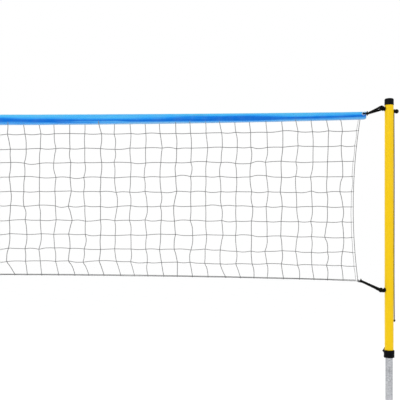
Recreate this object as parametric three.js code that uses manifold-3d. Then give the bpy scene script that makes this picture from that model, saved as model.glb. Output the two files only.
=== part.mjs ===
import * as THREE from "three";
import { mergeVertices } from "three/addons/utils/BufferGeometryUtils.js";
import Module from "manifold-3d";

// A volleyball net between two telescopic poles, in millimetres, +Z up.
// The origin is on the floor midway between the poles. X runs along the net, and its front faces -Y.
// Side is 1 for the pole at +X and -1 for the pole at -X.

// Netting, and the lines that it hangs between
const meshPitch = 100;
const meshColumns = 50;
const meshRows = 11;
const rowSlip = 18;
const twine = 4;
const bandTopHeight = 2240;
const nettingDrop = 1057;
const topSag = 18;
const bottomSpread = 40;
const topCornerReach = 25;
const bottomCornerReach = 5;
const sideBow = 40;
const sideGap = 14;
const footRoom = 1;

// Band, cords, eyelets and corner rings
const bandHeight = 70;
const bandEndHeight = 52;
const bandCloth = 1.5;
const headCordRadius = 3;
const headCordDrop = 12;
const rimCordRadius = 2;
const eyeletOut = 17;
const eyeletDrop = 14;
const eyeletHole = 7.5;
const eyeletWall = 1.5;
const eyeletFlange = 12;
const eyeletLip = 1.2;
const bandPastEyelet = 16;
const ringRadius = 8;
const ringWire = 2;
const elasticRadius = 4;
const loopInset = 1.5;
const loopRoom = 1.7;

// Poles
const eyeletToPole = 170;
const upperRadius = 29;
const lowerRadius = 24;
const tubeWall = 1.5;
const capAboveBand = 87;
const capHeight = 44;
const capRadius = upperRadius + 2;
const capPlug = 14;
const capRound = 8;
const footBelowStud = 432;
const raising = 190;
const guideAboveStud = 25;

// Ball studs: drops are from the top of the cap, and reaches are from the upper pole's wall
const studPairDrop = 74;
const studPairTilt = THREE.MathUtils.degToRad(12);
const innerBallRadius = 14.5;
const innerBallReach = 23.8;
const outerBallRadius = 14.5;
const outerBallReach = 21.4;
const lowerStudDrop = 1268;
const lowerBallRadius = 16;
const lowerBallReach = 25.5;
const neckReach = 9.5;
const studBoltRadius = 4;
const boltGrip = 17;
const rivetRadius = 2.4;
const rivetHead = 4.8;
const rivetSeat = 29;
const stayCordRadius = 3;
const stayKnotRadius = 5;
const stayKnotLength = 16;

// Clamp at the foot of the upper pole, and the socket and base under the lower pole
const bushLength = 40;
const guideSpigot = 25;
const guideHead = 12;
const collarHeight = 50;
const collarWall = 5.7;
const collarLip = 15;
const knobScrewRadius = 5;
const knobRadius = 26;
const knobLobes = 6;
const knobLobeDepth = 5;
const knobHubRadius = 11;
const knobHubLength = 20;
const knobHeadThickness = 16;
const bossRadius = 13;
const bossLength = 14;
const baseRadius = 260;
const baseHeight = 75;
const baseDish = 7;
const baseRound = 25;
const baseChamfer = 6;
const flangeRadius = 75;
const flangeThickness = 6;
const socketHeight = 104;
const socketWall = 5.5;
const socketKnobHeight = 145;
const boltCircle = 56;
const boltRadius = 5;
const boltFoot = 40;
const boltHeadRadius = 9.8;
const boltHeadHeight = 6.4;

// Clearances, and the number of flats on every round piece that shares a pole's axis
const gap = 0.3;
const screwGap = 0.3;
const poleSides = 20;

// Lengths that follow from the sizes above
const netHalf = (meshColumns * meshPitch) / 2;
const eyeletX = netHalf + topCornerReach + eyeletOut;
const bandEndX = eyeletX + bandPastEyelet;
const poleX = eyeletX + eyeletToPole;
const bandRoom = 2 * twine + 2 * gap;
const eyeletFace = bandRoom / 2 + bandCloth + gap;
const bandTop = (x) => bandTopHeight + topSag * (x / netHalf) ** 2;
const capTop = bandTop(netHalf) + capAboveBand;
const nettingTop = (x) => bandTop(x) - headCordDrop - headCordRadius - gap - twine / 2;
const nettingBottom = (x) => bandTopHeight - nettingDrop - bottomSpread * (x / netHalf) ** 2;
const ringX = netHalf + bottomCornerReach + ringRadius;
const ringZ = nettingBottom(netHalf) - ringRadius;
const upperBore = upperRadius - tubeWall;
const lowerStudZ = capTop - lowerStudDrop;
const studPairZ = capTop - studPairDrop;
const lowerPoleFoot = baseHeight + gap + flangeThickness + gap;
const lowerPoleTop = lowerStudZ + raising + guideAboveStud;
const upperPoleFoot = lowerStudZ - footBelowStud;

const wasm = await Module();
wasm.setup();

// A closed geometry as a manifold solid, and a manifold solid as a geometry.
function solid(geometry) {
  const bare = geometry.index ? geometry.toNonIndexed() : geometry.clone();
  bare.deleteAttribute("normal");
  bare.deleteAttribute("uv");
  const merged = mergeVertices(bare, 1e-3);
  const vertProperties = merged.attributes.position.array;
  const triVerts = new Uint32Array(merged.index.array);
  return new wasm.Manifold(new wasm.Mesh({ numProp: 3, vertProperties, triVerts }));
}

function geometryOf(manifold) {
  const { vertProperties, triVerts } = manifold.getMesh();
  const geometry = new THREE.BufferGeometry();
  geometry.setAttribute("position", new THREE.BufferAttribute(vertProperties, 3));
  geometry.setIndex(new THREE.BufferAttribute(triVerts, 1));
  return geometry;
}

const join = (...geometries) => geometryOf(geometries.map(solid).reduce((a, b) => a.add(b)));
const cut = (body, ...tools) => geometryOf(tools.map(solid).reduce((a, b) => a.subtract(b), solid(body)));

// A piece turned about Z from [radius, height] points, which run up the outside.
function turned(profile, segments) {
  const points = profile.map(([radius, height]) => new THREE.Vector2(radius, height));
  return new THREE.LatheGeometry(points, segments).rotateX(Math.PI / 2);
}

// A hollow ring or tube turned about Z: the outer wall upwards, then the inner wall back down.
function tube(outer, inner, bottom, top, segments) {
  const profile = [[inner, bottom], [outer, bottom], [outer, top], [inner, top], [inner, bottom]];
  return turned(profile, segments);
}

function rod(radius, bottom, top, segments) {
  return turned([[0, bottom], [radius, bottom], [radius, top], [0, top]], segments);
}

// A round cord along a smooth curve through the points.
function cord(points, radius, steps, sides) {
  const section = new THREE.Shape();
  for (let i = 0; i < sides; i++) {
    const turn = (2 * Math.PI * i) / sides;
    const corner = [radius * Math.cos(turn), radius * Math.sin(turn)];
    i ? section.lineTo(...corner) : section.moveTo(...corner);
  }
  const extrudePath = new THREE.CatmullRomCurve3(points.map((p) => new THREE.Vector3(...p)));
  return new THREE.ExtrudeGeometry(section, { steps, extrudePath, bevelEnabled: false });
}

// A front elevation in X and Z, given depth along Y from start to end. Its face at start is exact.
function panel(outline, start, end) {
  const turn = end > start ? 1 : -1;
  const shape = new THREE.Shape(outline.map(([x, z]) => new THREE.Vector2(x, -turn * z)));
  const geometry = new THREE.ExtrudeGeometry(shape, { depth: turn * (end - start), bevelEnabled: false });
  const upright = new THREE.Matrix4().set(1, 0, 0, 0, 0, 0, turn, 0, 0, -turn, 0, 0, 0, 0, 0, 1);
  return geometry.applyMatrix4(upright).translate(0, start, 0);
}

// Evenly spaced values from start to end, both included.
const spread = (start, end, count) =>
  Array.from({ length: count + 1 }, (_, i) => start + ((end - start) * i) / count);

const arc = (centre, radius, from, to, count) =>
  spread(from, to, count).map((a) => [radius * Math.cos(a), centre + radius * Math.sin(a)]);

const paint = (color, roughness, metalness) => ({ color, roughness, metalness });
const yellowPaint = paint(0xf3c311, 0.35, 0.1);
const blackPlastic = paint(0x16171a, 0.5, 0);
const blackRubber = paint(0x1b1b1d, 0.85, 0);
const blackCord = paint(0x111214, 0.9, 0);
const whiteTwine = paint(0xe9ebee, 0.9, 0);
const blueCloth = paint(0x2277d8, 0.8, 0);
const zinc = paint(0xb8bcc0, 0.4, 0.9);
const nylon = paint(0xd9d9d4, 0.6, 0);

const net = new THREE.Group();

function add(name, geometry, finish, x = 0) {
  const mesh = new THREE.Mesh(geometry, new THREE.MeshStandardMaterial(finish));
  mesh.name = name;
  mesh.position.x = x;
  net.add(mesh);
}

// The side edge of the netting: share runs from 0 at the top corner to 1 at the bottom corner.
function sideEdge(share) {
  const reach = THREE.MathUtils.lerp(topCornerReach, bottomCornerReach, share);
  const x = netHalf + reach - sideBow * 4 * share * (1 - share);
  return [x, THREE.MathUtils.lerp(nettingTop(netHalf), nettingBottom(netHalf), share)];
}

// Where a column and a row of the netting cross. The outer columns follow the bowed side edges.
// All the rows between the ropes sit rowSlip lower than even meshes would.
function knot(column, row) {
  const atRope = row === 0 || row === meshRows;
  const share = row / meshRows + (atRope ? 0 : rowSlip / nettingDrop);
  const across = column - meshColumns / 2;
  const atEnd = Math.abs(across) === meshColumns / 2;
  const x = atEnd ? Math.sign(across) * (sideEdge(share)[0] - sideGap) : across * meshPitch;
  return [x, THREE.MathUtils.lerp(nettingTop(x), nettingBottom(x), share)];
}

// One thread of the netting as a flat strip that is twine wide, with dx, dz across it.
function thread(points, dx, dz, depth) {
  const one = points.map(([x, z]) => [x - dx, z - dz]);
  const other = points.map(([x, z]) => [x + dx, z + dz]).reverse();
  return solid(panel([...one, ...other], 0, depth));
}

// Upright threads lie in front of the level threads, and the two meet on the net's mid plane.
function netting() {
  const half = twine / 2;
  const threads = [];
  for (let column = 0; column <= meshColumns; column++) {
    const bowed = column === 0 || column === meshColumns;
    const rows = bowed ? spread(0, meshRows, 6).map(Math.round) : [0, meshRows];
    const points = rows.map((row) => knot(column, row));
    points[0][1] += half;
    points[points.length - 1][1] -= half;
    threads.push(thread(points, half, 0, -twine));
  }
  const stops = spread(1, meshColumns - 1, 6).map(Math.round);
  for (let row = 0; row <= meshRows; row++) {
    const points = [0, ...stops, meshColumns].map((column) => knot(column, row));
    points[0][0] -= half;
    points[points.length - 1][0] += half;
    threads.push(thread(points, 0, half, twine));
  }
  return geometryOf(threads.reduce((a, b) => a.add(b)));
}

// A strip of cloth folded over the head cord, open underneath and at both ends.
function topBand() {
  const outside = bandRoom / 2 + bandCloth;
  const stops = spread(-bandEndX, bandEndX, 8);
  const height = (x) => THREE.MathUtils.lerp(bandHeight, bandEndHeight, (x / bandEndX) ** 2);
  const top = stops.map((x) => [x, bandTop(x)]);
  const bottom = stops.map((x) => [x, bandTop(x) - height(x)]).reverse();
  const roof = top.map(([x, z]) => [1.01 * x, z - bandCloth]);
  const under = bottom.map(([x, z]) => [1.01 * x, z - bandHeight]);
  const room = panel([...roof, ...under], -bandRoom / 2, bandRoom / 2);
  const holes = [-eyeletX, eyeletX].map((x) =>
    rod(eyeletHole + eyeletWall + gap, -2 * bandRoom, 2 * bandRoom, 12)
      .rotateX(Math.PI / 2)
      .translate(x, 0, bandTop(eyeletX) - eyeletDrop),
  );
  return cut(panel([...top, ...bottom], -outside, outside), room, ...holes);
}

// A metal eyelet: a barrel through both layers of the band, with a flange on each face.
function eyelet() {
  const barrel = eyeletHole + eyeletWall;
  const profile = [
    [eyeletHole, -eyeletFace - eyeletLip],
    [eyeletFlange, -eyeletFace - eyeletLip],
    [eyeletFlange, -eyeletFace],
    [barrel, -eyeletFace],
    [barrel, eyeletFace],
    [eyeletFlange, eyeletFace],
    [eyeletFlange, eyeletFace + eyeletLip],
    [eyeletHole, eyeletFace + eyeletLip],
    [eyeletHole, -eyeletFace - eyeletLip],
  ];
  return turned(profile, 12).rotateX(Math.PI / 2);
}

add("netting", netting(), whiteTwine);
add("top_band", topBand(), blueCloth);

const headStops = spread(-netHalf - topCornerReach / 2, netHalf + topCornerReach / 2, 12);
const headPoints = headStops.map((x) => [x, 0, bandTop(x) - headCordDrop]);
add("head_cord", cord(headPoints, headCordRadius, 12, 6), whiteTwine);

const ringEdge = ringRadius + ringWire + 2 * gap;
const bottomStops = spread(-ringX + ringEdge, ringX - ringEdge, 12);
const footDrop = twine / 2 + footRoom + rimCordRadius;
const bottomPoints = bottomStops.map((x) => [x, 0, nettingBottom(x) - footDrop]);
add("bottom_cord", cord(bottomPoints, rimCordRadius, 12, 6), whiteTwine);

for (const [word, side] of [["right", 1], ["left", -1]]) {
  const reach = (nettingTop(netHalf) - ringZ - ringEdge) / (nettingTop(netHalf) - nettingBottom(netHalf));
  const edge = spread(0, reach, 10).map(sideEdge).map(([x, z]) => [side * x, 0, z]);
  add("side_cord_" + word, cord(edge, rimCordRadius, 8, 6), whiteTwine);
  const eyeletPiece = eyelet().translate(0, 0, bandTop(eyeletX) - eyeletDrop);
  add("eyelet_" + word, eyeletPiece, zinc, side * eyeletX);
  const ring = new THREE.TorusGeometry(ringRadius, ringWire, 5, 10).rotateX(Math.PI / 2);
  add("corner_ring_" + word, ring.translate(0, 0, ringZ), zinc, side * ringX);
}

// A ball on a flared foot, turned about Z: the foot sits on the pole and the ball is further out.
// The bore takes the fastening, and hollow is where a counterbore opens at the ball's tip.
function ballStud(sizes) {
  const { footRadius, footEdge, neckRadius, neckStart, ballOut, ballRadius, bore, boreEnd, hollow } = sizes;
  const ballStart = Math.asin(Math.sqrt(1 - (neckRadius / ballRadius) ** 2));
  const tipRadius = hollow ? hollow.radius : 0;
  const ballEnd = Math.acos(tipRadius / ballRadius);
  const inside = hollow
    ? [[hollow.radius, hollow.seat], [bore, hollow.seat], [bore, 0]]
    : [[0, boreEnd], [bore, boreEnd], [bore, 0]];
  const outside = [
    [footRadius, 0],
    [footRadius, footEdge],
    [neckRadius, neckStart],
    ...arc(ballOut, ballRadius, -ballStart, ballEnd, 6),
  ];
  const profile = hollow ? [...inside, ...outside, inside[0]] : [...inside, ...outside];
  return turned(profile, 12);
}

// Cuts the foot of a stud to the round of the upright pole.
const seatOnPole = (stud) => cut(stud, rod(upperRadius + gap, -50, 50, poleSides));

// Turns a piece built outwards along Z so that it points from the pole towards the net, raised by tilt.
const inwards = (geometry, side, tilt) => geometry.rotateY(side * (tilt - Math.PI / 2));

// A point beside a stud: out along its axis from the pole's axis, and across along Y.
function besideStud(side, tilt, height, out, across) {
  return [poleX * side - side * out * Math.cos(tilt), across, height + out * Math.sin(tilt)];
}

// A doubled elastic cord: a loop round the stud's neck, two strands past the ball, a knot,
// and a loop through the eyelet or ring at hole.
function elastic({ side, tilt, height, neckOut, neckLoop, ballOut, ballRadius, hole, loopRadius }) {
  const neck = new THREE.TorusGeometry(neckLoop, elasticRadius, 5, 10);
  const along = inwards(neck.translate(0, 0, neckOut), side, tilt).translate(poleX * side, 0, height);
  const loop = new THREE.TorusGeometry(loopRadius, elasticRadius, 5, 8);
  loop.translate(hole[0] + side * (loopRadius - loopInset), 0, hole[1]);
  const knotX = hole[0] + side * (2 * loopRadius + 1);
  const knotBall = new THREE.SphereGeometry(1, 6, 4).scale(6, 7, 12).translate(knotX, 0, hole[1]);
  const clear = ballRadius + elasticRadius + 2 * gap;
  const strands = [-1, 1].map((face) => {
    const beside = (out, across) => besideStud(side, tilt, height, out, face * across);
    const points = [
      beside(neckOut, neckLoop),
      beside((neckOut + ballOut) / 2, clear + 1),
      beside(ballOut, clear + 2),
      beside(ballOut + ballRadius, clear),
      [knotX, face * 3, hole[1]],
    ];
    return cord(points, elasticRadius, 9, 5);
  });
  return join(along, loop, knotBall, ...strands);
}

// The black cord that hangs beside each pole: distance out from the pole's wall, and drop.
const stayRoute = [
  [3.3, 0], [3.3, 30], [3.4, 90], [3.8, 170], [4.2, 260], [4.5, 350], [4.6, 440], [4.5, 530],
  [4.3, 620], [4.1, 720], [3.9, 820], [3.8, 920], [3.8, 1020], [3.9, 1120], [4.4, 1230], [5.6, 1370],
];
const stayLoopRadius = 8.3;
const stayLoopOut = upperRadius + 5.65;
const stayTop = studPairZ - stayLoopOut * Math.sin(studPairTilt) - stayLoopRadius - stayCordRadius - gap;

// A knob's head: soft lobes round it, given thickness along Z.
function lobedHead(bottom, top) {
  const outline = spread(0, 2 * Math.PI, 4 * knobLobes).slice(1).map((turn) => {
    const reach = knobRadius - knobLobeDepth * (1 - Math.cos(knobLobes * turn)) / 2;
    return new THREE.Vector2(reach * Math.cos(turn), reach * Math.sin(turn));
  });
  const shape = new THREE.Shape(outline);
  const head = new THREE.ExtrudeGeometry(shape, { depth: top - bottom, bevelEnabled: false });
  return head.translate(0, 0, bottom);
}

// A clamping knob on the +Y side: its screw starts at the tube it presses, and its hub meets the boss.
function knob(tip, boss, height) {
  const hubEnd = boss + knobHubLength;
  const profile = [
    [0, tip],
    [knobScrewRadius, tip],
    [knobScrewRadius, boss + gap],
    [knobHubRadius, boss + gap],
    [knobHubRadius, hubEnd],
    [0, hubEnd],
  ];
  const head = lobedHead(hubEnd - knobHeadThickness / 2, hubEnd + knobHeadThickness / 2);
  const piece = join(turned(profile, 12), head);
  return piece.rotateX(-Math.PI / 2).translate(0, 0, height);
}

// A boss or a hole that points along +Y at a height.
const towardsBack = (radius, from, to, height, segments) =>
  rod(radius, from, to, segments).rotateX(-Math.PI / 2).translate(0, 0, height);

const clampHeight = upperPoleFoot + bushLength / 2;
const collarRadius = upperRadius + gap + collarWall;
const clampBoss = collarRadius + bossLength;
const socketInner = lowerRadius + gap;
const socketOuter = socketInner + socketWall;
const socketFoot = baseHeight + gap;
const socketBoss = socketOuter + bossLength;
const screwHole = knobScrewRadius + screwGap;

function base() {
  const shoulder = baseHeight - baseDish - baseRound;
  const corner = arc(shoulder, baseRound, 0, Math.PI / 2, 2);
  const round = corner.map(([r, z]) => [baseRadius - baseRound + r, z]);
  const profile = [
    [0, 0],
    [baseRadius - baseChamfer, 0],
    [baseRadius, baseChamfer],
    ...round,
    [flangeRadius + 10, baseHeight],
    [0, baseHeight],
  ];
  const boltHole = () => rod(boltRadius + gap, boltFoot - 1, baseHeight + 1, 10);
  return cut(turned(profile, 28), ...boltCopies(boltHole));
}

function boltCopies(make) {
  return [30, 150, 270].map((degrees) => {
    const turn = THREE.MathUtils.degToRad(degrees);
    return make().translate(boltCircle * Math.cos(turn), boltCircle * Math.sin(turn), 0);
  });
}

function socket() {
  const floor = socketFoot + flangeThickness;
  const profile = [
    [0, socketFoot],
    [flangeRadius, socketFoot],
    [flangeRadius, floor],
    [socketOuter + 8, floor],
    [socketOuter, floor + 8],
    [socketOuter, socketFoot + socketHeight],
    [socketInner, socketFoot + socketHeight],
    [socketInner, floor],
    [0, floor],
  ];
  const boss = towardsBack(bossRadius, socketOuter - 2, socketBoss, socketKnobHeight, 12);
  const bore = towardsBack(screwHole, socketInner - 5, socketBoss + 1, socketKnobHeight, 12);
  const hollow = rod(socketInner, floor, socketFoot + socketHeight + 1, poleSides);
  const boltHoles = boltCopies(() => rod(boltRadius + gap, socketFoot - 1, floor + 1, 10));
  return cut(join(turned(profile, poleSides), boss), hollow, bore, ...boltHoles);
}

function flangeBolt() {
  const seat = socketFoot + flangeThickness + gap;
  const shank = rod(boltRadius, boltFoot, seat + 1, 10);
  return join(shank, rod(boltHeadRadius, seat, seat + boltHeadHeight, 6));
}

function lowerPole() {
  return tube(lowerRadius, lowerRadius - tubeWall, lowerPoleFoot, lowerPoleTop, poleSides);
}

// A nylon plug on top of the lower pole, which guides the upper pole from inside.
function innerGuide() {
  const spigot = lowerRadius - tubeWall - gap;
  const seat = lowerPoleTop + gap;
  const foot = seat - guideSpigot;
  const head = seat + guideHead;
  const slide = upperBore - gap;
  const profile = [[0, foot], [spigot, foot], [spigot, seat], [slide, seat], [slide, head], [0, head]];
  return turned(profile, poleSides);
}

const studHole = (side, tilt, height, radius, from, to) =>
  inwards(rod(radius, from, to, 10), side, tilt).translate(0, 0, height);

function upperPole(side) {
  const wall = tube(upperRadius, upperBore, upperPoleFoot, capTop - capHeight - gap, poleSides);
  return cut(
    wall,
    studHole(side, studPairTilt, studPairZ, studBoltRadius + gap, -50, 50),
    studHole(side, 0, lowerStudZ, rivetRadius + gap, 5, 50),
    towardsBack(screwHole, 5, 50, clampHeight, 12),
  );
}

function poleCap() {
  const corner = arc(capTop - capRound, capRound, 0, Math.PI / 2, 2);
  const round = corner.map(([r, z]) => [capRadius - capRound + r, z]);
  const skirt = capTop - capHeight;
  const plug = upperBore - gap;
  const foot = skirt - capPlug;
  const profile = [[0, foot], [plug, foot], [plug, skirt], [capRadius, skirt], ...round, [0, capTop]];
  return turned(profile, poleSides);
}

function guideBush() {
  const foot = upperPoleFoot + gap;
  const ring = tube(upperBore - gap, lowerRadius + gap, foot, foot - gap + bushLength, poleSides);
  return cut(ring, towardsBack(screwHole, 5, 50, clampHeight, 12));
}

function clampCollar() {
  const foot = upperPoleFoot - collarLip;
  const head = upperPoleFoot + collarHeight - collarLip;
  const profile = [
    [lowerRadius + 3 * gap, foot],
    [collarRadius - 3, foot],
    [collarRadius, foot + 3],
    [collarRadius, head - 3],
    [collarRadius - 3, head],
    [upperRadius + gap, head],
    [upperRadius + gap, upperPoleFoot - gap],
    [lowerRadius + 3 * gap, upperPoleFoot - gap],
    [lowerRadius + 3 * gap, foot],
  ];
  const boss = towardsBack(bossRadius, collarRadius - 2, clampBoss, clampHeight, 12);
  const hole = towardsBack(screwHole, 5, clampBoss + 1, clampHeight, 12);
  return cut(join(turned(profile, poleSides), boss), hole);
}

const innerStudSizes = {
  footRadius: 15.5,
  footEdge: upperRadius + 2,
  neckRadius: 9,
  neckStart: upperRadius + neckReach,
  ballOut: upperRadius + innerBallReach,
  ballRadius: innerBallRadius,
  bore: studBoltRadius + gap,
  boreEnd: upperRadius + boltGrip + gap,
};
const outerStudSizes = {
  footRadius: 8,
  footEdge: upperRadius + 1.4,
  neckRadius: 5,
  neckStart: upperRadius + 2,
  ballOut: upperRadius + outerBallReach,
  ballRadius: outerBallRadius,
  bore: studBoltRadius + gap,
  boreEnd: upperRadius + boltGrip + gap,
};
const lowerStudSizes = {
  footRadius: 16.5,
  footEdge: upperRadius + 2,
  neckRadius: 9.5,
  neckStart: upperRadius + neckReach,
  ballOut: upperRadius + lowerBallReach,
  ballRadius: lowerBallRadius,
  bore: rivetRadius + gap,
  hollow: { radius: rivetHead + gap, seat: upperRadius + rivetSeat },
};

// A blind rivet: its flange sits in the ball, and its tail has spread inside the pole.
function rivet() {
  const seat = lowerStudSizes.hollow.seat + gap;
  const inside = upperBore - 0.7;
  const profile = [
    [0, inside - 1.4],
    [rivetHead - 0.5, inside - 1.4],
    [rivetHead - 0.5, inside],
    [rivetRadius, inside],
    [rivetRadius, seat],
    [rivetHead, seat],
    [rivetHead, seat + 1.6],
    [0, seat + 1.6],
  ];
  return turned(profile, 10);
}

const boltEnd = upperRadius + boltGrip;

for (const [word, side] of [["right", 1], ["left", -1]]) {
  const x = side * poleX;
  const onPole = (geometry, tilt, height) => inwards(geometry, side, tilt).translate(0, 0, height);
  const studOnPole = (geometry, tilt, height) =>
    seatOnPole(inwards(geometry, side, tilt)).translate(0, 0, height);

  add("base_" + word, base(), blackRubber, x);
  add("socket_" + word, socket(), zinc, x);
  boltCopies(flangeBolt).forEach((bolt, i) => add("flange_bolt_" + word + "_" + (i + 1), bolt, zinc, x));
  add("socket_knob_" + word, knob(lowerRadius + gap, socketBoss, socketKnobHeight), blackPlastic, x);
  add("lower_pole_" + word, lowerPole(), zinc, x);
  add("inner_guide_" + word, innerGuide(), nylon, x);

  add("upper_pole_" + word, upperPole(side), yellowPaint, x);
  add("pole_cap_" + word, poleCap(), blackPlastic, x);
  add("guide_bush_" + word, guideBush(), nylon, x);
  add("clamp_collar_" + word, clampCollar(), blackPlastic, x);
  add("clamp_knob_" + word, knob(lowerRadius + gap, clampBoss, clampHeight), blackPlastic, x);

  const upperStud = ballStud(innerStudSizes);
  add("upper_stud_" + word, studOnPole(upperStud, studPairTilt, studPairZ), blackPlastic, x);
  const outerStud = ballStud(outerStudSizes).rotateY(Math.PI);
  add("outer_stud_" + word, studOnPole(outerStud, studPairTilt, studPairZ), blackPlastic, x);
  const studBolt = rod(studBoltRadius, -boltEnd, boltEnd, 10);
  add("stud_bolt_" + word, onPole(studBolt, studPairTilt, studPairZ), zinc, x);
  add("lower_stud_" + word, studOnPole(ballStud(lowerStudSizes), 0, lowerStudZ), blackPlastic, x);
  add("lower_rivet_" + word, onPole(rivet(), 0, lowerStudZ), zinc, x);

  const upperElastic = {
    side,
    tilt: studPairTilt,
    height: studPairZ,
    neckOut: upperRadius + neckReach + 1.3,
    neckLoop: innerBallRadius - 0.7,
    ballOut: upperRadius + innerBallReach,
    ballRadius: innerBallRadius,
    hole: [side * eyeletX, bandTop(eyeletX) - eyeletDrop],
    loopRadius: eyeletFace + eyeletLip + elasticRadius + loopRoom,
  };
  const lowerElastic = {
    side,
    tilt: 0,
    height: lowerStudZ,
    neckOut: upperRadius + neckReach + 1.3,
    neckLoop: lowerBallRadius - 1.8,
    ballOut: upperRadius + lowerBallReach,
    ballRadius: lowerBallRadius,
    hole: [side * ringX, ringZ],
    loopRadius: 8,
  };
  add("upper_elastic_" + word, elastic(upperElastic), blackCord);
  add("lower_elastic_" + word, elastic(lowerElastic), blackCord);

  const stayLoop = new THREE.TorusGeometry(stayLoopRadius, stayCordRadius, 5, 10);
  const roundOuterStud = onPole(stayLoop.translate(0, 0, -stayLoopOut), studPairTilt, studPairZ);
  add("stay_loop_" + word, roundOuterStud, blackCord, x);
  const stayPoints = stayRoute.map(([out, drop]) => [side * (upperRadius + out), 0, stayTop - drop]);
  add("stay_cord_" + word, cord(stayPoints, stayCordRadius, 16, 8), blackCord, x);
  const [endOut, endDrop] = stayRoute[stayRoute.length - 1];
  const stayKnot = new THREE.SphereGeometry(1, 8, 6).rotateX(Math.PI / 2);
  stayKnot.scale(stayKnotRadius, stayKnotRadius, stayKnotLength / 2);
  const knotHeight = stayTop - endDrop - stayKnotLength / 2 - gap;
  stayKnot.translate(side * (upperRadius + endOut), 0, knotHeight);
  add("stay_knot_" + word, stayKnot, blackCord, x);
}

export default net;
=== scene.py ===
import random
from math import asin, cos, pi, radians, sin, sqrt, tau

import bmesh
import bpy
from mathutils import Matrix, Vector, noise


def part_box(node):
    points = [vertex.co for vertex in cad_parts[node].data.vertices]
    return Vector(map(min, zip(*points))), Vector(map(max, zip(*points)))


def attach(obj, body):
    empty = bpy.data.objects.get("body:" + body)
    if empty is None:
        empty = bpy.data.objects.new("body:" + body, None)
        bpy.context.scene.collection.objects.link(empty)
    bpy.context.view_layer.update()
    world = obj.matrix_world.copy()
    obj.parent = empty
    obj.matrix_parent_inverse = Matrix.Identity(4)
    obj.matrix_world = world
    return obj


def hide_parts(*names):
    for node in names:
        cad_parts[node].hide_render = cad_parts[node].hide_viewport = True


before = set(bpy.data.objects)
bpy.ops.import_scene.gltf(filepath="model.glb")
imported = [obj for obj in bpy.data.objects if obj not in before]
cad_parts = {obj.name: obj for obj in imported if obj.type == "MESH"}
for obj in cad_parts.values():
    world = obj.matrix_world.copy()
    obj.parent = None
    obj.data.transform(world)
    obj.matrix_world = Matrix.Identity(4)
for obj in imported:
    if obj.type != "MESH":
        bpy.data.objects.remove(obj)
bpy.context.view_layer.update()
scene = bpy.context.scene
both_sides = (("right", 1), ("left", -1))


# --- Camera, floor and light ---------------------------------------------------
# A plain pale floor and an even white room, seen from eye height in front of the
# net's right-hand half, with two large soft lamps in front of it and one behind.

camera_data = bpy.data.cameras.new("camera")
camera_data.sensor_width = 36
camera_data.lens = 62.5
camera_data.shift_y = 0.122
camera = bpy.data.objects.new("camera", camera_data)
camera.location = (1.4595, -4.6, 1.35)
camera.rotation_euler = (radians(90), 0, 0)
scene.collection.objects.link(camera)
scene.camera = camera
scene.view_settings.view_transform = "Standard"


def put_node(tree, kind, settings=None, inputs=None):
    """A shader node, with its settings, and its inputs either linked or set."""
    node = tree.nodes.new(kind)
    for setting, value in (settings or {}).items():
        setattr(node, setting, value)
    for socket, value in (inputs or {}).items():
        if isinstance(value, bpy.types.NodeSocket):
            tree.links.new(value, node.inputs[socket])
        else:
            node.inputs[socket].default_value = value
    return node


def new_material(name, sockets):
    """A Principled material, with the values that are the same all over it."""
    material = bpy.data.materials.new(name)
    material.use_nodes = True
    shader = material.node_tree.nodes["Principled BSDF"]
    for socket, value in sockets.items():
        shader.inputs[socket].default_value = value
    return material, material.node_tree, shader


def ramp(tree, factor, stops):
    """A colour ramp through (position, colour) stops."""
    node = put_node(tree, "ShaderNodeValToRGB", inputs={"Fac": factor})
    elements = node.color_ramp.elements
    while len(elements) < len(stops):
        elements.new(0.5)
    for element, (position, colour) in zip(elements, stops):
        element.position = position
        element.color = colour
    return node.outputs["Color"]


floor_bm = bmesh.new()
bmesh.ops.create_circle(floor_bm, cap_ends=True, segments=96, radius=60)
floor_mesh = bpy.data.meshes.new("floor")
floor_bm.to_mesh(floor_mesh)
floor_bm.free()
floor = bpy.data.objects.new("floor", floor_mesh)
scene.collection.objects.link(floor)

floor_paint, tree, shader = new_material("floor paint", {"Roughness": 0.85})
place = put_node(tree, "ShaderNodeTexCoord")
mottle = put_node(tree, "ShaderNodeTexNoise", inputs={"Vector": place.outputs["Object"], "Scale": 3.0})
tone = ramp(tree, mottle.outputs["Fac"], [(0.3, (0.93, 0.93, 0.93, 1)), (0.7, (0.96, 0.96, 0.96, 1))])
tree.links.new(tone, shader.inputs["Base Color"])
floor_mesh.materials.append(floor_paint)

room = bpy.data.worlds.new("room")
scene.world = room
room.use_nodes = True
tree = room.node_tree
direction = put_node(tree, "ShaderNodeTexCoord")
height = put_node(tree, "ShaderNodeSeparateXYZ", inputs={0: direction.outputs["Generated"]})
walls = ramp(tree, height.outputs["Z"], [(0.0, (0.60, 0.62, 0.65, 1)), (0.35, (1.08, 1.08, 1.08, 1))])
seen = put_node(tree, "ShaderNodeLightPath")
backdrop = put_node(
    tree, "ShaderNodeMix", {"data_type": "RGBA"}, {
        0: seen.outputs["Is Camera Ray"], 6: walls, 7: (1, 1, 1, 1)
    }
)
tree.links.new(backdrop.outputs[2], tree.nodes["Background"].inputs["Color"])

for name, place, target, size, power in (
    ("key lamp", (-1.6, -4.6, 4.8), (2.2, 0, 1.2), 3.0, 85),
    ("fill lamp", (6.5, -4.0, 2.6), (1.5, 0, 1.2), 2.5, 15),
    ("back lamp", (1.0, 5.5, 4.5), (1.0, 0, 1.2), 3.5, 60),
):
    lamp_data = bpy.data.lights.new(name, "AREA")
    lamp_data.size = size
    lamp_data.energy = power
    lamp = bpy.data.objects.new(name, lamp_data)
    lamp.location = place
    lamp.rotation_euler = (Vector(target) - Vector(place)).to_track_quat("-Z", "Y").to_euler()
    scene.collection.objects.link(lamp)


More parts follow.
